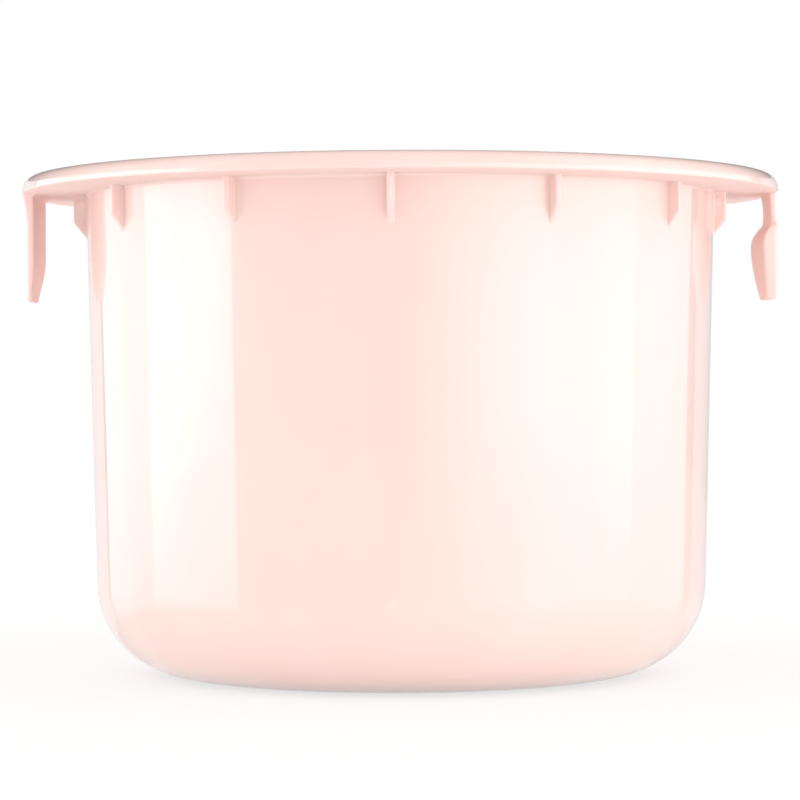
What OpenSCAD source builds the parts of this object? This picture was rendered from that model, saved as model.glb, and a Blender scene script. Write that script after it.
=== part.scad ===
// Drop-in pot for a wax warmer: a drafted cup under a broad rim, thirteen ribs that centre it
// in the warmer's collar, and two legs outside the collar, one of them with a sprung catch.
// Millimetres. Origin on the bench under the middle of the cup, +Z up, legs along X, -Y the front.

/* [Cup] */
// Outside diameter of the cup where it meets the rim
cup_d = 100; // [84:0.5:130]
// Height from the bench to the top of the rim
pot_h = 78.5; // [60:0.5:110]
// Thickness of the cup wall
wall_t = 2; // [1.4:0.1:3]
// Thickness of the cup floor
floor_t = 2.4; // [1.8:0.1:4]
// Draft of the cup wall on each side, in degrees
draft = 1.45; // [0.5:0.05:3]
// Outside radius where the wall turns into the floor
corner_r = 14.4; // [8:0.2:20]

/* [Foot] */
// Width of the ring that the pot stands on, round the hollow under the floor
foot_w = 5; // [3:0.5:12]
// Depth of the hollow under the floor
hollow_h = 0.5; // [0.3:0.1:0.8]
// Diameter of the dimple round the moulding gate
dimple_d = 9; // [6:0.5:14]
// Depth of the dimple below the hollow
dimple_h = 0.4; // [0.2:0.1:0.6]
// Diameter of the gate stub left in the dimple
gate_d = 2.4; // [1.6:0.2:4]

/* [Rim] */
// Width of the rim, from the cup out to its edge
rim_w = 10; // [8.5:0.1:16]
// Thickness of the rim
rim_t = 2.6; // [2:0.1:3.6]
// Radius along the upper outer edge of the rim
rim_edge_r = 2; // [0.4:0.1:2]
// Radius along the mouth
mouth_edge_r = 0.9; // [0.3:0.1:1.2]

/* [Ribs] */
// Number of ribs round the cup
rib_count = 13; // [8:1:20]
// Turn of the first rib from the middle of the front, in degrees
rib_turn = -1.5; // [-6:0.5:6]
// Thickness of a rib
rib_t = 1.1; // [0.8:0.1:2]
// Distance from the cup to the outer edge of a rib, under the rim
rib_depth = 1.9; // [1.2:0.1:2.6]
// Height of a rib, down to where it runs out on the cup
rib_h = 6.9; // [6:0.1:12]
// Height from the rim down to the corner where a rib's upright edge turns in to the cup
rib_edge_h = 4.4; // [2:0.1:5.5]
// Radius of that corner
knee_r = 1.3; // [0.4:0.1:2]

/* [Legs] */
// Width of a leg round the rim
leg_w = 16.4; // [12:0.2:22]
// Thickness of a leg
leg_t = 1; // [0.8:0.05:1.4]
// Length of a leg below the rim
leg_len = 16.8; // [14:0.1:24]
// Height over which a leg narrows towards its tip
taper_h = 5.5; // [3:0.1:7]
// Width of a leg at its tip
tip_w = 8.6; // [6:0.2:12]
// Thickness that a leg loses towards its tip
tip_thin = 0.4; // [0.1:0.05:0.5]
// Distance from the edge of the rim in to the plain leg's outer face
leg_inset = 0.75; // [0.3:0.05:1]
// Height of the flare that joins the plain leg's outer face to the edge of the rim
flare_h = 5.6; // [2:0.1:7]

/* [Catch] */
// Distance from the edge of the rim in to the sprung leg's outer face
catch_inset = 0.15; // [0.1:0.05:1]
// Distance that the catch stands in from its leg
catch_depth = 1.2; // [0.7:0.05:1.4]
// Height from the rim down to the nose of the catch
catch_drop = 8.2; // [7:0.1:9.5]
// Radius of the nose of the catch
nose_r = 4; // [2:0.1:5]
// Distance that the face of the catch leans out from the nose down to the tip
lead_in = 0.6; // [0.2:0.05:0.8]
// Width of the sprung leg's neck, between the rim and the catch
neck_w = 9.2; // [6:0.2:11]
// Height of the neck, from the rim down to the shoulders of the catch
neck_h = 5; // [4:0.1:6]
// Radius of the hollows between the neck and the catch
neck_r = 2; // [1:0.1:2.4]
// Gap that leaves the sprung leg free under the rim
flex_gap = 0.25; // [0.2:0.05:0.4]
// Radius of the rounded root on which the sprung leg tilts
root_r = 0.9; // [0.8:0.05:1.4]

/* [Hidden] */
function rib_name(i) = str("rib_", i < 10 ? "0" : "", i);
$fn = 96;
past = 1;                            // how far a cutting shape reaches past what it cuts

cup_r = cup_d / 2;
rim_r = cup_r + rim_w;
seat_z = pot_h - rim_t;              // underside of the rim, which rests on the collar
mouth_r = cup_r - wall_t;
foot_r = cup_r_at(corner_r) - corner_r / cos(draft);
tip_z = seat_z - leg_len;
pink = "#f9d5cf";

// Radius of the cup's outside at a height
function cup_r_at(z) = cup_r - (seat_z - z) * tan(draft);

// Half section of a drafted cup with a rounded bottom corner: radius top_r at height top_z,
// its flat bottom at bottom_z, and a corner arc that runs tangent into both
module cup_section(top_r, top_z, bottom_z, arc_r) {
    arc_z = bottom_z + arc_r;
    arc_x = top_r - (top_z - arc_z) * tan(draft) - arc_r / cos(draft);
    polygon([[0, bottom_z], [arc_x, bottom_z],
             [arc_x + arc_r * cos(draft), arc_z - arc_r * sin(draft)],
             [top_r, top_z], [0, top_z]]);
    translate([arc_x, arc_z]) circle(arc_r);
}

module pot_cup() {
    color(pink) difference() {
        rotate_extrude() cup_section(cup_r, seat_z, 0, corner_r);
        rotate_extrude() cup_section(mouth_r, seat_z, floor_t, corner_r - wall_t);
        translate([0, 0, -past]) cylinder(r = foot_r - foot_w, h = hollow_h + past);
        difference() {
            cylinder(d = dimple_d, h = hollow_h + dimple_h);
            cylinder(d = gate_d, h = hollow_h + dimple_h);
        }
    }
}

module rim_flange() {
    color(pink) rotate_extrude() difference() {
        translate([mouth_r, seat_z]) square([rim_r - mouth_r, rim_t]);
        difference() {
            translate([rim_r - rim_edge_r, pot_h - rim_edge_r]) square(2 * rim_edge_r);
            translate([rim_r - rim_edge_r, pot_h - rim_edge_r]) circle(rim_edge_r);
        }
        difference() {
            translate([mouth_r - mouth_edge_r, pot_h - mouth_edge_r]) square(2 * mouth_edge_r);
            translate([mouth_r + mouth_edge_r, pot_h - mouth_edge_r]) circle(mouth_edge_r);
        }
    }
}

// One rib, standing on the cup's wall and reaching up to the rim
module rib(i) {
    foot_z = seat_z - rib_h;
    knee_z = seat_z - rib_edge_h;
    out_r = cup_r + rib_depth;
    slant = atan2(out_r - cup_r_at(foot_z), knee_z - foot_z);
    color(pink) rotate([0, 0, rib_turn - 90 + (i - 1) * 360 / rib_count]) intersection() {
        rotate_extrude() difference() {
            polygon([[cup_r_at(foot_z), foot_z], [out_r, knee_z], [out_r, seat_z],
                     [cup_r, seat_z]]);
            translate([out_r - knee_r, knee_z + knee_r * tan(slant / 2)]) difference() {
                polygon([[0, 0], [knee_r + past, 0], [knee_r + past, -knee_r - past],
                         [(knee_r + past) * cos(slant), -(knee_r + past) * sin(slant)]]);
                circle(knee_r);
            }
        }
        translate([0, -rib_t / 2, foot_z]) cube([rim_r, rib_t, rib_h]);
    }
}

// Outline of a leg seen from the side, run out along X
module leg_outline() {
    rotate([90, 0, 90]) linear_extrude(rim_r + past)
        polygon([[-leg_w / 2, seat_z], [-leg_w / 2, tip_z + taper_h], [-tip_w / 2, tip_z],
                 [tip_w / 2, tip_z], [leg_w / 2, tip_z + taper_h], [leg_w / 2, seat_z]]);
}

// What is cut from the sprung leg's outline on each side of its neck
module neck_sides() {
    side_w = (leg_w - neck_w) / 2;
    fillet_r = min(neck_r, side_w);
    for (side = [0, 1]) mirror([0, side, 0])
        rotate([90, 0, 90]) linear_extrude(rim_r + past) {
            translate([neck_w / 2, seat_z - neck_h + fillet_r]) square([side_w + past, neck_h]);
            translate([neck_w / 2 + fillet_r, seat_z - neck_h]) square([side_w + past, neck_h]);
            translate([neck_w / 2 + fillet_r, seat_z - neck_h + fillet_r]) circle(fillet_r);
        }
}

// The leg opposite the catch: a plain tab that flares out to the edge of the rim
module plain_leg() {
    out_r = rim_r - leg_inset;
    in_r = out_r - leg_t;
    flare_r = (leg_inset * leg_inset + flare_h * flare_h) / (2 * leg_inset);
    color(pink) rotate([0, 0, 180]) intersection() {
        rotate_extrude() difference() {
            polygon([[in_r, seat_z], [in_r, tip_z + taper_h], [in_r + tip_thin, tip_z],
                     [out_r, tip_z], [out_r, seat_z - flare_h], [rim_r, seat_z - flare_h],
                     [rim_r, seat_z]]);
            translate([out_r + flare_r, seat_z - flare_h]) circle(flare_r);
        }
        leg_outline();
    }
}

// Radial section of the sprung leg: neck, hollow, nose and the leaning face down to the tip
module catch_section(out_r) {
    in_r = out_r - leg_t;
    catch_r = in_r - catch_depth;
    nose = [catch_r + nose_r, seat_z - catch_drop];
    hollow = [in_r - neck_r, nose[1] + sqrt(pow(nose_r + neck_r, 2) - pow(nose[0] - in_r + neck_r, 2))];
    touch = (nose * neck_r + hollow * nose_r) / (nose_r + neck_r);
    difference() {
        union() {
            polygon([[out_r, tip_z], [out_r, seat_z], [in_r, seat_z], [in_r, hollow[1]], touch,
                     [catch_r, nose[1]], [catch_r + lead_in, tip_z]]);
            intersection() {
                translate(nose) circle(nose_r);
                translate([catch_r, nose[1]]) square([out_r - catch_r, touch[1] - nose[1]]);
            }
        }
        translate(hollow) circle(neck_r);
    }
}

// The sprung leg. Its root is rounded about the line on which it tilts.
module catch_leg() {
    out_r = rim_r - catch_inset;
    sag = out_r - sqrt(out_r * out_r - neck_w * neck_w / 4);
    root_z = seat_z - flex_gap - root_r;
    color(pink) intersection() {
        rotate_extrude() catch_section(out_r);
        difference() {
            leg_outline();
            neck_sides();
        }
        union() {
            translate([out_r - (leg_t + sag) / 2, leg_w, root_z])
                rotate([90, 0, 0]) cylinder(r = root_r, h = 2 * leg_w);
            translate([0, -leg_w, 0]) cube([rim_r + past, 2 * leg_w, root_z]);
        }
    }
}

pot_cup();
rim_flange();
for (i = [1:rib_count]) rib(i);
plain_leg();
catch_leg();
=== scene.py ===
import math

import bmesh
import bpy
from mathutils import Matrix, Vector


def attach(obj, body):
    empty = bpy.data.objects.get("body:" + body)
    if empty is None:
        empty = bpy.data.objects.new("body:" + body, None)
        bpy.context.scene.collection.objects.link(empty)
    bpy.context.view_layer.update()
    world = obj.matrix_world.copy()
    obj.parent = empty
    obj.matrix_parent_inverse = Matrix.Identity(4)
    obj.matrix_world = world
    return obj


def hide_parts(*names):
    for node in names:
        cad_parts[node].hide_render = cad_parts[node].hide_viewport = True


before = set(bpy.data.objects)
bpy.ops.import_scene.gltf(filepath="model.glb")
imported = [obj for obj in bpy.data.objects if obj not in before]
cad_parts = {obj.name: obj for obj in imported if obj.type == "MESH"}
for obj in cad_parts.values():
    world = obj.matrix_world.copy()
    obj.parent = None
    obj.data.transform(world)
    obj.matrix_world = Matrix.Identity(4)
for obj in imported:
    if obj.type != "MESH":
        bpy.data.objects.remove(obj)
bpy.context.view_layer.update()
mm = 0.001


def linearFromHex(hexText, alpha=1.0):
    def channel(pair):
        share = int(pair, 16) / 255
        return share / 12.92 if share <= 0.04045 else ((share + 0.055) / 1.055) ** 2.4
    return (channel(hexText[1:3]), channel(hexText[3:5]), channel(hexText[5:7]), alpha)


def addNode(tree, kind, settings=None, inputs=None):
    # settings are the node's own fields, inputs are socket values or the sockets to link from
    node = tree.nodes.new(kind)
    for field, value in (settings or {}).items():
        setattr(node, field, value)
    for socket, value in (inputs or {}).items():
        if isinstance(value, bpy.types.NodeSocket):
            tree.links.new(value, node.inputs[socket])
        else:
            node.inputs[socket].default_value = value
    return node


def evenSteps(low, high, count):
    # evenly spaced values from low to high, both ends among them
    return [low + (high - low) * (i / count) for i in range(count + 1)]


def finishPiece(name, verts, faces, material, body, nodes):
    mesh = bpy.data.meshes.new(name)
    mesh.from_pydata([Vector(v) * mm for v in verts], [], faces)
    work = bmesh.new()
    work.from_mesh(mesh)
    bmesh.ops.remove_doubles(work, verts=work.verts, dist=1e-7)
    bmesh.ops.dissolve_degenerate(work, edges=work.edges, dist=1e-8)
    bmesh.ops.recalc_face_normals(work, faces=work.faces)
    work.to_mesh(mesh)
    work.free()
    for polygon in mesh.polygons:
        polygon.use_smooth = True
    mesh.set_sharp_from_angle(angle=math.radians(50))
    mesh.materials.append(material)
    piece = bpy.data.objects.new(name, mesh)
    bpy.context.scene.collection.objects.link(piece)
    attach(piece, body)
    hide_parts(*nodes)
    return piece


def arc(centre, radius, start, end, count):
    # points on an arc, angles in degrees
    return [(centre[0] + radius * math.cos(math.radians(start + (end - start) * i / count)),
             centre[1] + radius * math.sin(math.radians(start + (end - start) * i / count)))
            for i in range(count + 1)]


def lathe(profile, turns):
    # a closed (radius, height) outline turned about Z; points on the axis share one vertex
    verts, faces, rows = [], [], []
    for r, z in profile:
        if r < 1e-6:
            rows.append([len(verts)] * turns)
            verts.append((0, 0, z))
        else:
            rows.append(list(range(len(verts), len(verts) + turns)))
            verts += [(r * math.cos(2 * math.pi * k / turns), r * math.sin(2 * math.pi * k / turns), z)
                      for k in range(turns)]
    for a, b in zip(rows, rows[1:] + rows[:1]):
        for k in range(turns):
            n = (k + 1) % turns
            corners = []
            for index in (a[k], a[n], b[n], b[k]):
                if index not in corners:
                    corners.append(index)
            if len(corners) > 2:
                faces.append(corners)
    return verts, faces


cameraSetup = {
    "distance": 460.14,     # from the pot's axis, mm
    "eyeHeight": 45.12,     # above the bench, mm
    "aside": -0.12,         # mm, positive to the right
    "lookDown": 0.231,      # degrees
    "roll": -0.22,          # degrees
    "lens": 129.29,         # mm on a 36 mm sensor
}


def makeCamera(setup):
    data = bpy.data.cameras.new("camera")
    data.lens = setup["lens"]
    data.sensor_width = 36
    data.clip_start = 0.01
    camera = bpy.data.objects.new("camera", data)
    bpy.context.scene.collection.objects.link(camera)
    place = Matrix.Translation(Vector((setup["aside"], -setup["distance"], setup["eyeHeight"])) * mm)
    tilt = Matrix.Rotation(math.radians(90 - setup["lookDown"]), 4, "X")
    roll = Matrix.Rotation(math.radians(setup["roll"]), 4, "Z")
    camera.matrix_world = place @ tilt @ roll
    bpy.context.scene.camera = camera


makeCamera(cameraSetup)
print("camera is placed")


pearlPlastic = {
    "pink": "#fcdfd8",          # the moulding's own colour
    "deepPink": "#fbdcd4",      # where the pearl pigment has flowed apart
    "roughness": 0.3,           # the pearl layer under the polished skin
    "skin": 1.0,                # how much polished skin lies over it
    "skinRoughness": 0.05,
    "sheen": 0.08,              # soft glow of the pigment seen along the surface
    "sheenRoughness": 0.4,
    "ior": 1.49,                # polypropylene
    "flowWidth": 14.0,          # width of a flow band of pigment, mm
    "flowStretch": 0.3,         # the bands run down the wall: their scale in height
    "duller": 0.02,             # how much rougher, and how much smoother, the bands make it
    "shinier": 0.015,
    "peelGrain": 2.6,           # grain of the surface's faint waviness, mm
    "peelDepth": 0.004,         # depth of that waviness, mm
    "mattAbove": 70.0,          # above this height, faces that look down are matt from the tool, mm
    "mattFacing": -0.9,         # how squarely such a face looks down, where -1 is straight down
    "mattRoughness": 0.6,
}


def makePearlPlastic(name, look):
    # Moulded pearlescent polypropylene: an even pale pink with faint bands where the pearl pigment
    # lay down with the flow, and a gloss that is very slightly wavy, as off a polished mould
    material = bpy.data.materials.new(name)
    material.use_nodes = True
    tree = material.node_tree
    shader = tree.nodes["Principled BSDF"]
    place = addNode(tree, "ShaderNodeTexCoord").outputs["Object"]
    flow = addNode(tree, "ShaderNodeTexNoise", {"noise_dimensions": "3D"}, {
        "Vector": addNode(tree, "ShaderNodeMapping", None, {
            "Vector": place, "Scale": (1, 1, look["flowStretch"])}).outputs["Vector"],
        "Scale": 1 / (look["flowWidth"] * mm), "Detail": 2, "Roughness": 0.45, "Distortion": 0.6})
    bands = addNode(tree, "ShaderNodeMapRange", {"clamp": True}, {
        "Value": flow.outputs["Fac"], "From Min": 0.35, "From Max": 0.65})
    tint = addNode(tree, "ShaderNodeMix", {"data_type": "RGBA"}, {
        "Factor": bands.outputs["Result"]})
    tint.inputs["A"].default_value = linearFromHex(look["pink"])
    tint.inputs["B"].default_value = linearFromHex(look["deepPink"])
    tree.links.new(tint.outputs["Result"], shader.inputs["Base Color"])
    gloss = addNode(tree, "ShaderNodeMapRange", {"clamp": True}, {
        "Value": flow.outputs["Fac"], "From Min": 0.3, "From Max": 0.7,
        "To Min": look["roughness"] - look["shinier"], "To Max": look["roughness"] + look["duller"]})
    # the rim's underside comes off a matt part of the tool, so it shows its own pink, no mirror
    height = addNode(tree, "ShaderNodeSeparateXYZ", None, {"Vector": place}).outputs["Z"]
    facing = addNode(tree, "ShaderNodeSeparateXYZ", None, {
        "Vector": addNode(tree, "ShaderNodeTexCoord").outputs["Normal"]}).outputs["Z"]
    high = addNode(tree, "ShaderNodeMath", {"operation": "GREATER_THAN"}, {
        0: height, 1: look["mattAbove"] * mm})
    down = addNode(tree, "ShaderNodeMath", {"operation": "LESS_THAN"}, {0: facing, 1: look["mattFacing"]})
    matt = addNode(tree, "ShaderNodeMath", {"operation": "MULTIPLY"}, {
        0: high.outputs[0], 1: down.outputs[0]})
    rough = addNode(tree, "ShaderNodeMix", {"data_type": "FLOAT"}, {
        "Factor": matt.outputs[0], "A": gloss.outputs["Result"], "B": look["mattRoughness"]})
    tree.links.new(rough.outputs["Result"], shader.inputs["Roughness"])
    if look["skin"]:
        polished = addNode(tree, "ShaderNodeMath", {"operation": "SUBTRACT"}, {
            0: 1.0, 1: matt.outputs[0]})
        coat = addNode(tree, "ShaderNodeMath", {"operation": "MULTIPLY"}, {
            0: polished.outputs[0], 1: look["skin"]})
        tree.links.new(coat.outputs[0], shader.inputs["Coat Weight"])
    peel = addNode(tree, "ShaderNodeTexNoise", {"noise_dimensions": "3D"}, {
        "Vector": place, "Scale": 1 / (look["peelGrain"] * mm), "Detail": 1})
    bump = addNode(tree, "ShaderNodeBump", None, {
        "Height": peel.outputs["Fac"], "Distance": look["peelDepth"] * mm, "Strength": 1.0})
    tree.links.new(bump.outputs["Normal"], shader.inputs["Normal"])
    shader.inputs["IOR"].default_value = look["ior"]
    shader.inputs["Coat Roughness"].default_value = look["skinRoughness"]
    shader.inputs["Sheen Weight"].default_value = look["sheen"]
    shader.inputs["Sheen Roughness"].default_value = look["sheenRoughness"]
    return material


pinkPlastic = makePearlPlastic("moulded pearlescent polypropylene", pearlPlastic)

# The legs come from a textured part of the tool: the same plastic with a satin skin, which keeps
# its pink where it is seen along its face
satinPlastic = makePearlPlastic("moulded pearlescent polypropylene, satin from the tool",
                                dict(pearlPlastic, roughness=0.5, skin=0.0))
print("plastic is mixed")


cup = {
    "topRadius": 50.0,
    "height": 78.5,
    "wall": 2.0,
    "floor": 2.4,
    "draft": 1.45,          # degrees
    "cornerRadius": 14.4,
    "hollowRadius": 29.0,   # under the floor
    "hollowDepth": 0.5,
    "dimpleRadius": 4.5,
    "dimpleDepth": 0.4,
    "dimpleSlope": 0.1,     # the sides of the dimple and the gate lean by this much
    "gateRadius": 1.2,
    "gateEdge": 0.2,
    "softEdge": 0.3,        # rounding of small edges
    "rootFillet": 0.6,      # under the rim
}

rim = {
    "radius": 59.99,
    "thickness": 2.6,
    "edgeRadius": 2.0,
    "mouthRadius": 0.9,
    "softEdge": 0.25,       # lower outer edge
}

seatHeight = cup["height"] - rim["thickness"]
slope = math.tan(math.radians(cup["draft"]))
turnsRound = 384
steps = {"fillet": 12, "wall": 40, "corner": 40, "innerCorner": 36, "softEdge": 5, "gateEdge": 4,
         "rimEdge": 14, "mouth": 10}
joinGap = {"fillet": 0.2, "corner": 0.3}    # straight left between a rounded stretch and the wall, mm
bite = 0.012                # how far a fillet's edge sinks into what it runs out on, mm


def wallRadius(z):
    return cup["topRadius"] - (seatHeight - z) * slope


def cornerArc(topRadius, bottomHeight, radius, count):
    # from the drafted wall round to the flat: centre and points, wall end first
    tilt = math.radians(cup["draft"])
    z = bottomHeight + radius
    x = topRadius - (seatHeight - z) * slope - radius / math.cos(tilt)
    return arc((x, z), radius, -cup["draft"], -90, count)


def makeCup(name):
    fillet, soft = cup["rootFillet"], cup["softEdge"]
    hollow, lean, gateEdge = cup["hollowDepth"], cup["dimpleSlope"], cup["gateEdge"]
    outline = arc((cup["topRadius"] + fillet, seatHeight + bite - fillet), fillet, 90, 180, steps["fillet"])
    low = cornerArc(cup["topRadius"], 0, cup["cornerRadius"], steps["corner"])
    wallTop, wallFoot = outline[-1][1] - joinGap["fillet"], low[0][1] + joinGap["corner"]
    outline += [(wallRadius(z), z) for z in evenSteps(wallTop, wallFoot, steps["wall"])]
    outline += low
    # inner edge of the foot ring, then the hollow, the dimple and the gate stub
    outline += arc((cup["hollowRadius"] + soft, soft), soft, -90, -180, steps["softEdge"])
    outline += arc((cup["hollowRadius"] - soft, hollow - soft), soft, 0, 90, steps["softEdge"])
    outline += arc((cup["dimpleRadius"] + soft, hollow + soft), soft, -90, -180, steps["softEdge"])
    dimpleTop = hollow + cup["dimpleDepth"]
    outline += [(cup["dimpleRadius"] - lean, dimpleTop), (cup["gateRadius"] + lean, dimpleTop)]
    outline += arc((cup["gateRadius"] - gateEdge, hollow + gateEdge), gateEdge, 0, -90, steps["gateEdge"])
    outline += [(0, hollow)]
    inner = cornerArc(cup["topRadius"] - cup["wall"], cup["floor"], cup["cornerRadius"] - cup["wall"],
                      steps["innerCorner"])
    outline += [(0, cup["floor"]), (inner[-1][0] * 0.5, cup["floor"])]
    outline += inner[::-1]
    outline += [(wallRadius(z) - cup["wall"], z)
                for z in evenSteps(inner[0][1] + joinGap["corner"], seatHeight, steps["wall"])]
    verts, faces = lathe(outline, turnsRound)
    return finishPiece(name, verts, faces, pinkPlastic, "pot", ["pot_cup"])


def makeRim(name):
    mouth = cup["topRadius"] - cup["wall"]
    soft, edge, lip = rim["softEdge"], rim["edgeRadius"], rim["mouthRadius"]
    outline = [(mouth, seatHeight)]
    outline += [(mouth + (rim["radius"] - soft - mouth) * t, seatHeight) for t in (0.1, 0.3, 0.6, 0.9)]
    outline += arc((rim["radius"] - soft, seatHeight + soft), soft, -90, 0, steps["softEdge"])
    outline += arc((rim["radius"] - edge, cup["height"] - edge), edge, 0, 90, steps["rimEdge"])
    outline += [(mouth + (rim["radius"] - mouth) * t, cup["height"]) for t in (0.7, 0.4, 0.15)]
    outline += arc((mouth + lip, cup["height"] - lip), lip, 90, 180, steps["mouth"])
    verts, faces = lathe(outline, turnsRound)
    return finishPiece(name, verts, faces, pinkPlastic, "pot", ["rim_flange"])


makeCup("cup")
makeRim("rim")
print("cup and rim are turned")


ribs = {
    "count": 13,
    "turn": -1.5,           # first rib from the middle of the front, degrees
    "topThickness": 1.04,
    "footThickness": 0.86,
    "depth": 1.9,
    "height": 6.9,
    "kneeDrop": 4.4,        # from the rim down to the corner of the outer edge
    "kneeRadius": 1.3,
    "edgeRadius": 0.3,
    "fillet": 0.24,         # where it meets the wall and the rim
    "footRadius": 1.0,      # hollow where the slope runs out on the wall
    "buried": 0.05,         # how far it reaches into the wall
    "thinnest": 0.01,       # where it runs out to nothing
}


def ribProfile():
    # (outer radius, height, cosine of its slant) down the rib's outer edge
    outer = cup["topRadius"] + ribs["depth"]
    kneeRadius, footRadius = ribs["kneeRadius"], ribs["footRadius"]
    foot, knee = seatHeight - ribs["height"], seatHeight - ribs["kneeDrop"]
    slant = math.atan2(outer - wallRadius(foot), knee - foot)
    bend = kneeRadius * math.tan(slant / 2)
    fillet = ribs["fillet"]
    points = [(outer, seatHeight + bite - fillet * (1 - math.cos(math.radians(a))), 1.0)
              for a in range(0, 91, 13)]
    points += [(outer, z, 1.0) for z in evenSteps(seatHeight - fillet, knee + bend, 6)[1:-1]]
    centre = (outer - kneeRadius, knee + bend)
    for i in range(13):
        a = slant * i / 12
        points.append((centre[0] + kneeRadius * math.cos(a),
                       centre[1] - kneeRadius * math.sin(a), math.cos(a)))
    turn = slant - math.radians(cup["draft"])           # from the slope back to the wall
    hollow = footRadius * math.tan(turn / 2)
    start = (wallRadius(foot) + hollow * math.sin(slant), foot + hollow * math.cos(slant))
    last = points[-1]
    for i in range(1, 9):
        t = i / 8
        points.append((last[0] + (start[0] - last[0]) * t, last[1] + (start[1] - last[1]) * t,
                       math.cos(slant)))
    centre = (start[0] + footRadius * math.cos(slant), start[1] - footRadius * math.sin(slant))
    for i in range(1, 8):
        a = slant - turn * i / 8
        points.append((centre[0] - footRadius * math.cos(a),
                       centre[1] + footRadius * math.sin(a), math.cos(a)))
    return points


def ribHalfThickness(r, z, outer, slant):
    # half the rib's thickness at a point of its side: fillets at wall and rim, round free edge
    height = (z - seatHeight + ribs["height"]) / ribs["height"]
    y = (ribs["footThickness"] + (ribs["topThickness"] - ribs["footThickness"]) * height) / 2
    f, e = ribs["fillet"], ribs["edgeRadius"]
    for gap in (r - wallRadius(z) + bite, seatHeight + bite - z):
        if gap < f:
            y += f - math.sqrt(max(0.0, f * f - (f - max(gap, 0.0)) ** 2))
    edge = (outer - r) * slant
    if edge < e:
        y -= e - math.sqrt(max(0.0, e * e - (e - max(edge, 0.0)) ** 2))
    return y


def makeRib(name, angle, node):
    quarter = [1 - math.cos(math.radians(a)) for a in range(0, 91, 15)]
    f, e = ribs["fillet"], ribs["edgeRadius"]
    faceSteps = 4
    verts, faces, rows = [], [], []
    for outer, z, slant in ribProfile():
        inner = wallRadius(z)
        width = max(outer - inner, ribs["thinnest"])
        near, far = min(f, width / 2), min(e / slant, width / 2)
        stops = [inner + near * q for q in quarter] + [inner + width - far * q for q in reversed(quarter)]
        side = [(r, ribHalfThickness(r, z, inner + width, slant)) for r in stops]
        side.insert(0, (inner - ribs["buried"], side[0][1]))
        edge = side[-1][1]
        face = [(inner + width, edge - 2 * edge * k / faceSteps) for k in range(1, faceSteps)]
        loop = side + face + [(r, -y) for r, y in reversed(side)]
        rows.append(list(range(len(verts), len(verts) + len(loop))))
        verts += [(r, y, z) for r, y in loop]
    count = len(rows[0])
    for a, b in zip(rows, rows[1:]):
        for k in range(count):
            n = (k + 1) % count
            faces.append([a[k], a[n], b[n], b[k]])
    faces.append(rows[0][::-1])
    faces.append(rows[-1])
    c, s = math.cos(angle), math.sin(angle)
    verts = [(x * c - y * s, x * s + y * c, z) for x, y, z in verts]
    return finishPiece(name, verts, faces, pinkPlastic, "pot", [node])


for i in range(ribs["count"]):
    angle = math.radians(ribs["turn"] - 90 + i * 360 / ribs["count"])
    makeRib("rib%02d" % (i + 1), angle, "rib_%02d" % (i + 1))
print("ribs are set under the rim")


legs = {
    "width": 16.4,
    "thickness": 1.0,
    "length": 16.8,
    "taperHeight": 5.5,
    "taperEase": 1.5,       # the taper starts this much higher, and eases in
    "tipHeight": 0.4,       # the last stretch, drawn finely
    "tipWidth": 8.6,
    "rootFillet": 0.6,
}

plainLeg = {
    "inset": 0.75,          # from the rim's edge in to the outer face
    "flareHeight": 5.6,
    "tipThinning": 0.4,
    "edgeRadius": 0.34,
    "tipRadius": 0.15,
}

catchLeg = {
    "inset": 0.15,
    "depth": 1.2,           # how far the catch stands in
    "drop": 8.2,            # from the rim down to the nose
    "noseRadius": 4.0,
    "leadIn": 0.6,          # how far the catch's face leans out down to the tip
    "neckWidth": 9.2,
    "neckHeight": 5.0,
    "neckRadius": 2.0,
    "neckFlare": 0.3,       # how far the neck spreads towards the rim
    "flareHeight": 3.4,     # over this height
    "shoulderHeight": 1.6,  # the shoulders round out to full width over this height
    "hingeDrop": 1.15,      # from the rim down to the line it tilts on
    "rootRadius": 1.5,      # the root is round about that line, and ends inside the rim
    "edgeRadius": 0.45,
    "tipRadius": 0.35,
}


def smoothStep(a, b, x):
    t = min(1.0, max(0.0, (x - a) / (b - a)))
    return t * t * (3 - 2 * t)


def tipNarrowing(drop):
    # half width lost towards the tip, eased into the straight taper
    above = legs["length"] - drop
    eased = legs["taperHeight"] + legs["taperEase"]
    if above >= eased:
        return 0.0
    lost = (legs["width"] - legs["tipWidth"]) / 2
    return lost * (1 - above / eased) ** 1.6


def plainSection(drop):
    # half width, inner and outer radius of the plain leg at a drop below the rim
    out = rim["radius"] - plainLeg["inset"]
    inner = out - legs["thickness"]
    flare = plainLeg["flareHeight"]
    if drop < flare:
        big = (plainLeg["inset"] ** 2 + flare * flare) / (2 * plainLeg["inset"])
        out += big - math.sqrt(big * big - (flare - drop) ** 2)
    fillet = legs["rootFillet"]
    half = legs["width"] / 2 - tipNarrowing(drop)
    if drop < fillet:
        swell = fillet - math.sqrt(fillet * fillet - (fillet - drop) ** 2)
        inner -= swell
        half += swell * 0.6
    thinFrom = legs["length"] - legs["taperHeight"] - 1
    inner += plainLeg["tipThinning"] * smoothStep(thinFrom, legs["length"], drop)
    return half, inner, out


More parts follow.
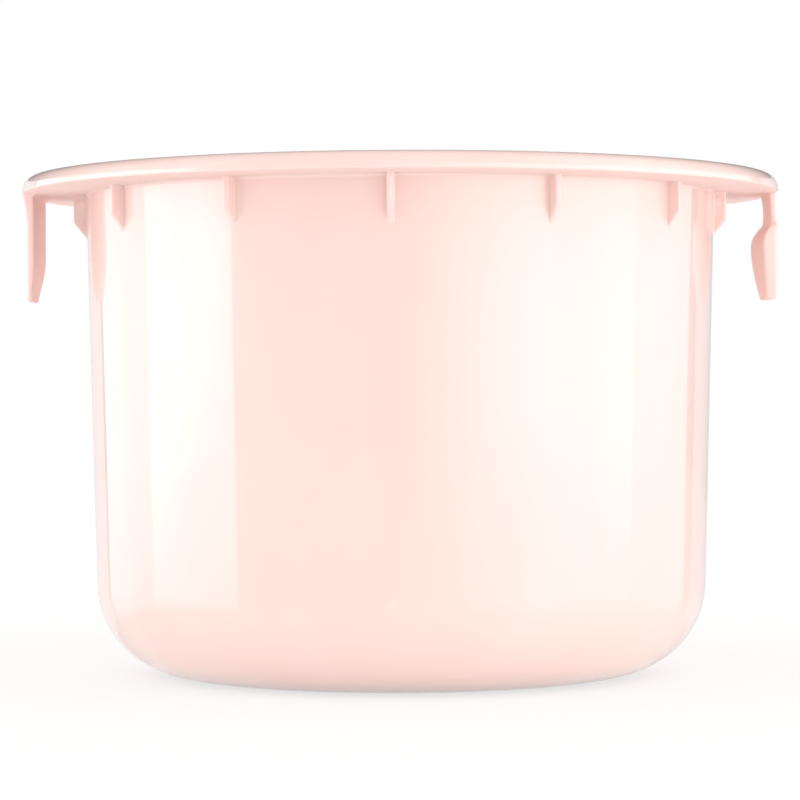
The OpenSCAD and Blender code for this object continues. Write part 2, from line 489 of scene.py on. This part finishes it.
def catchSection(drop):
    out = rim["radius"] - catchLeg["inset"]
    neckIn = out - legs["thickness"]
    deep = catchLeg["depth"]
    nose, hollow = catchLeg["noseRadius"], catchLeg["neckRadius"]
    span = math.sqrt((nose + hollow) ** 2 - (nose - deep + hollow) ** 2)
    top = catchLeg["drop"] - span                        # where the hollow leaves the neck
    touch = top + span * hollow / (nose + hollow)
    if drop <= top:
        stand = 0.0
    elif drop <= touch:
        stand = hollow - math.sqrt(hollow ** 2 - (drop - top) ** 2)
    elif drop <= catchLeg["drop"]:
        stand = deep - nose + math.sqrt(nose ** 2 - (catchLeg["drop"] - drop) ** 2)
    else:
        below = (drop - catchLeg["drop"]) / (legs["length"] - catchLeg["drop"])
        stand = deep - catchLeg["leadIn"] * (below ** 2 * (2 - below) * 0.5 + below * 0.5)
    spread = max(0.0, 1 - drop / catchLeg["flareHeight"]) ** 2 * catchLeg["neckFlare"]
    inner = neckIn - stand - spread
    neck = catchLeg["neckWidth"] / 2
    full = legs["width"] / 2 - tipNarrowing(drop)
    shoulder = catchLeg["neckHeight"]
    if drop < shoulder - hollow:
        half = neck + spread
    elif drop < shoulder:
        half = neck + hollow - math.sqrt(max(0.0, hollow * hollow - (drop - shoulder + hollow) ** 2))
    else:
        t = min(1.0, (drop - shoulder) / catchLeg["shoulderHeight"])
        half = neck + hollow + (full - neck - hollow) * math.sqrt(1 - (1 - t) ** 2)
    return half, inner, out


def legMesh(leg, section, drops, side, roundTop):
    # loft of rounded rectangles down the leg, bent to the rim's curve, closed at both ends
    acrossCount, edgeCount, thickCount = 16, 6, 4
    verts, faces, rows = [], [], []
    tipRound = leg["tipRadius"]
    for drop in drops:
        half, inner, out = section(min(drop, legs["length"]))
        e = min(leg["edgeRadius"], (out - inner) / 2 - 0.02, half - 0.02)
        under = legs["length"] - drop
        shrink = 0.0
        if under < tipRound:
            shrink = tipRound - math.sqrt(max(0.0, tipRound ** 2 - (tipRound - under) ** 2))
        inner, out, half = inner + shrink, out - shrink, half - shrink
        e = min(e, (out - inner) / 2 - 0.01)
        ring = []
        ring += arc((out - e, half - e), e, 0, 90, edgeCount)
        ring += [(out - e + (inner - out + 2 * e) * k / thickCount, half) for k in range(1, thickCount)]
        ring += arc((inner + e, half - e), e, 90, 180, edgeCount)
        ring += [(inner, half - e - 2 * (half - e) * k / acrossCount) for k in range(1, acrossCount)]
        ring += arc((inner + e, -half + e), e, 180, 270, edgeCount)
        ring += [(inner + e + (out - inner - 2 * e) * k / thickCount, -half) for k in range(1, thickCount)]
        ring += arc((out - e, -half + e), e, 270, 360, edgeCount)
        ring += [(out, -half + e + 2 * (half - e) * k / acrossCount) for k in range(1, acrossCount)]
        row = []
        for r, y in ring:
            x = math.sqrt(r * r - y * y)
            z = seatHeight - drop
            if roundTop and z > roundTop[1]:
                axisX, axisZ, radius = roundTop
                z = min(z, axisZ + math.sqrt(max(0.0, radius ** 2 - (x - axisX) ** 2)))
            row.append(len(verts))
            verts.append((side * x, y, z))
        rows.append(row)
    count = len(rows[0])
    for a, b in zip(rows, rows[1:]):
        for k in range(count):
            n = (k + 1) % count
            faces.append([a[k], a[n], b[n], b[k]])
    faces.append(rows[0][::-1])
    faces.append(rows[-1])
    return verts, faces


def makePlainLeg(name):
    tipTop = legs["length"] - legs["tipHeight"]
    drops = evenSteps(0, legs["rootFillet"], 8)
    drops += evenSteps(legs["rootFillet"], tipTop, 44)[1:]
    drops += evenSteps(tipTop, legs["length"], 8)[1:]
    verts, faces = legMesh(plainLeg, plainSection, drops, -1, None)
    return finishPiece(name, verts, faces, satinPlastic, "pot", ["plain_leg"])


def makeCatchLeg(name):
    hingeDrop, rootRadius = catchLeg["hingeDrop"], catchLeg["rootRadius"]
    out = rim["radius"] - catchLeg["inset"]
    sag = out - math.sqrt(out * out - catchLeg["neckWidth"] ** 2 / 4)
    axis = (out - (legs["thickness"] + sag) / 2, seatHeight - hingeDrop, rootRadius)
    rootFoot, tipTop = 1.2, legs["length"] - legs["tipHeight"]
    drops = evenSteps(hingeDrop - rootRadius, rootFoot, 12)
    drops += evenSteps(rootFoot, tipTop, 70)[1:]
    drops += evenSteps(tipTop, legs["length"], 8)[1:]
    verts, faces = legMesh(catchLeg, catchSection, drops, 1, axis)
    return finishPiece(name, verts, faces, satinPlastic, "sprung_leg", ["catch_leg"])


makePlainLeg("plainLeg")
makeCatchLeg("catchLeg")
print("legs are hung")


studio = {
    "tableWidth": 1.1,      # m
    "floorWhite": "#fcfcfb",
    "shadowShare": 0.3,     # how much of the floor's own shading shows near the pot
    "shadowFade": (0.08, 0.32),     # it fades out between these distances from the axis, m
    "polish": 0.05,         # roughness of the floor's gloss
    "floorGap": 0.0002,     # the floor lies this far under the foot, m
    "worldLevel": 0.9,      # soft light from all round
}


def shownRays(tree, path):
    # 1 for what the camera sees, straight or by reflection or through something clear
    seen = addNode(tree, "ShaderNodeMath", {"operation": "MAXIMUM"}, {
        0: path.outputs["Is Camera Ray"], 1: path.outputs["Is Glossy Ray"]})
    shown = addNode(tree, "ShaderNodeMath", {"operation": "MAXIMUM"}, {
        0: seen.outputs[0], 1: path.outputs["Is Transmission Ray"]})
    return shown.outputs[0]


def makeFloor():
    # Polished white acrylic: seen as white with the pot's shadow, and the pot's gloss finds the
    # softboxes mirrored in it
    mesh = bpy.data.meshes.new("floorSheet")
    reach = studio["tableWidth"] / 2
    mesh.from_pydata([(-reach, -reach, 0), (reach, -reach, 0), (reach, reach, 0), (-reach, reach, 0)],
                     [], [(0, 1, 2, 3)])
    material = bpy.data.materials.new("polished white acrylic sheet")
    material.use_nodes = True
    tree = material.node_tree
    tree.nodes.remove(tree.nodes["Principled BSDF"])
    path = addNode(tree, "ShaderNodeLightPath")
    shown = shownRays(tree, path)
    matt = addNode(tree, "ShaderNodeBsdfDiffuse", None, {"Color": linearFromHex(studio["floorWhite"])})
    white = addNode(tree, "ShaderNodeEmission", None, {"Color": (1, 1, 1, 1), "Strength": 1.0})
    away = addNode(tree, "ShaderNodeVectorMath", {"operation": "LENGTH"}, {
        0: addNode(tree, "ShaderNodeTexCoord").outputs["Object"]})
    share = addNode(tree, "ShaderNodeMapRange", {"clamp": True}, {
        "Value": away.outputs["Value"], "From Min": studio["shadowFade"][0],
        "From Max": studio["shadowFade"][1], "To Min": studio["shadowShare"], "To Max": 0.0})
    seen = addNode(tree, "ShaderNodeMixShader", None, {
        0: share.outputs["Result"], 1: white.outputs[0], 2: matt.outputs[0]})
    sheet = addNode(tree, "ShaderNodeMixShader", None, {0: shown, 1: matt.outputs[0], 2: seen.outputs[0]})
    gleam = addNode(tree, "ShaderNodeFresnel", None, {"IOR": 1.49})
    mirrored = addNode(tree, "ShaderNodeMath", {"operation": "MULTIPLY"}, {
        0: gleam.outputs[0], 1: path.outputs["Is Glossy Ray"]})
    polish = addNode(tree, "ShaderNodeBsdfGlossy", None, {
        "Color": (1, 1, 1, 1), "Roughness": studio["polish"]})
    mix = addNode(tree, "ShaderNodeMixShader", None, {
        0: mirrored.outputs[0], 1: sheet.outputs[0], 2: polish.outputs[0]})
    tree.links.new(mix.outputs[0], tree.nodes["Material Output"].inputs["Surface"])
    mesh.materials.append(material)
    floor = bpy.data.objects.new("floorSheet", mesh)
    floor.location.z = -studio["floorGap"]
    bpy.context.scene.collection.objects.link(floor)


def makeWorld():
    world = bpy.data.worlds.new("studio")
    bpy.context.scene.world = world
    world.use_nodes = True
    tree = world.node_tree
    tree.nodes.clear()
    shown = shownRays(tree, addNode(tree, "ShaderNodeLightPath"))
    soft = addNode(tree, "ShaderNodeBackground", None, {
        "Color": (1, 1, 1, 1), "Strength": studio["worldLevel"]})
    white = addNode(tree, "ShaderNodeBackground", None, {"Color": (1, 1, 1, 1), "Strength": 1.0})
    mix = addNode(tree, "ShaderNodeMixShader", None, {0: shown, 1: soft.outputs[0], 2: white.outputs[0]})
    addNode(tree, "ShaderNodeOutputWorld", None, {"Surface": mix.outputs[0]})


# Softboxes: size and distance in metres, degrees round from the front (positive to the right),
# height in metres of the point that it faces, degrees that it stands over that point, and
# whether the gloss mirrors it. A box says only where it differs from the plain one.
plainBox = {"distance": 1.0, "height": 0.0, "over": 0, "mirrored": True}

softboxes = {
    "leftStrip": {"size": (0.75, 0.5), "azimuth": -81.5, "level": 3.0},
    "leftFeather": {"size": (0.65, 0.5), "azimuth": -120, "level": 1.4},
    "rightBank": {"size": (1.1, 0.5), "azimuth": 63, "level": 1.8},
    "rightFeather": {"size": (0.65, 0.5), "azimuth": 110, "level": 1.0},
    "backLeft": {"size": (0.7, 0.5), "azimuth": -160, "level": 0.8},
    "backRight": {"size": (0.7, 0.5), "azimuth": 155, "level": 0.6},
    "leftSky": {"size": (0.8, 0.5), "azimuth": -80, "height": 0.04, "over": 30, "level": 0.5},
    "rightSky": {"size": (0.8, 0.8), "azimuth": 70, "height": 0.04, "over": 40, "level": 0.5},
    "lowKick": {"size": (0.3, 0.05), "distance": 0.35, "azimuth": 55, "height": 0.026,
                "level": 1.5, "mirrored": False},
    "catchLight": {"size": (0.06, 0.06), "azimuth": -3, "height": 0.14, "level": 5.0},
}


# The right bank's near edge is feathered: strips side by side, each a step brighter
feather = {"first": 2, "last": 34, "height": 0.5, "strips": 8, "weakest": 0.1, "strongest": 1.7}

# The black felt drum round the studio: radius, foot and top in metres
flags = {"radius": 1.8, "low": -1.5, "high": 2.6, "turns": 48, "felt": "#3a3a3a"}


def makeSoftbox(name, changes):
    box = dict(plainBox, **changes)
    width, height = box["size"]
    data = bpy.data.lights.new(name, "AREA")
    data.shape = "RECTANGLE"
    data.size = width
    data.size_y = height
    data.energy = box["level"] * width * height * math.pi
    lamp = bpy.data.objects.new(name, data)
    lamp.visible_camera = False
    lamp.visible_glossy = box["mirrored"]
    turn, over = math.radians(box["azimuth"]), math.radians(box["over"])
    away = Vector((math.sin(turn) * math.cos(over), -math.cos(turn) * math.cos(over), math.sin(over)))
    lamp.location = away * box["distance"] + Vector((0, 0, box["height"]))
    lamp.rotation_euler = (-away).to_track_quat("-Z", "Y").to_euler()
    bpy.context.scene.collection.objects.link(lamp)


def makeFeather(edge):
    step = (edge["last"] - edge["first"]) / edge["strips"]
    width = 2 * math.tan(math.radians(step / 2))
    for i in range(edge["strips"]):
        share = i / (edge["strips"] - 1)
        makeSoftbox("feather%d" % (i + 1), {
            "size": (width, edge["height"]), "azimuth": edge["first"] + step * (i + 0.5),
            "level": edge["weakest"] + (edge["strongest"] - edge["weakest"]) * share})


def makeFlags():
    # Black felt hung all round behind the lamps, so that the gloss has dark gaps between them.
    # Only the gloss finds it: it takes no light away and the camera looks past it.
    radius, low, high, turns = flags["radius"], flags["low"], flags["high"], flags["turns"]
    verts = [(radius * math.cos(2 * math.pi * k / turns), radius * math.sin(2 * math.pi * k / turns), z)
             for z in (low, high) for k in range(turns)]
    verts += [(0, 0, low), (0, 0, high)]
    faces = [(k, (k + 1) % turns, turns + (k + 1) % turns, turns + k) for k in range(turns)]
    faces += [((k + 1) % turns, k, 2 * turns) for k in range(turns)]
    faces += [(turns + k, turns + (k + 1) % turns, 2 * turns + 1) for k in range(turns)]
    mesh = bpy.data.meshes.new("blackFlags")
    mesh.from_pydata(verts, [], faces)
    material = bpy.data.materials.new("black felt")
    material.use_nodes = True
    shader = material.node_tree.nodes["Principled BSDF"]
    shader.inputs["Base Color"].default_value = linearFromHex(flags["felt"])
    shader.inputs["Roughness"].default_value = 1.0
    shader.inputs["Specular IOR Level"].default_value = 0.0
    mesh.materials.append(material)
    drum = bpy.data.objects.new("blackFlags", mesh)
    drum.visible_camera = False
    drum.visible_diffuse = False
    drum.visible_transmission = False
    drum.visible_shadow = False
    bpy.context.scene.collection.objects.link(drum)


makeFloor()
makeWorld()
makeFlags()
for name, box in softboxes.items():
    makeSoftbox(name, box)
makeFeather(feather)
bpy.context.scene.view_settings.view_transform = "Standard"
print("studio is lit")
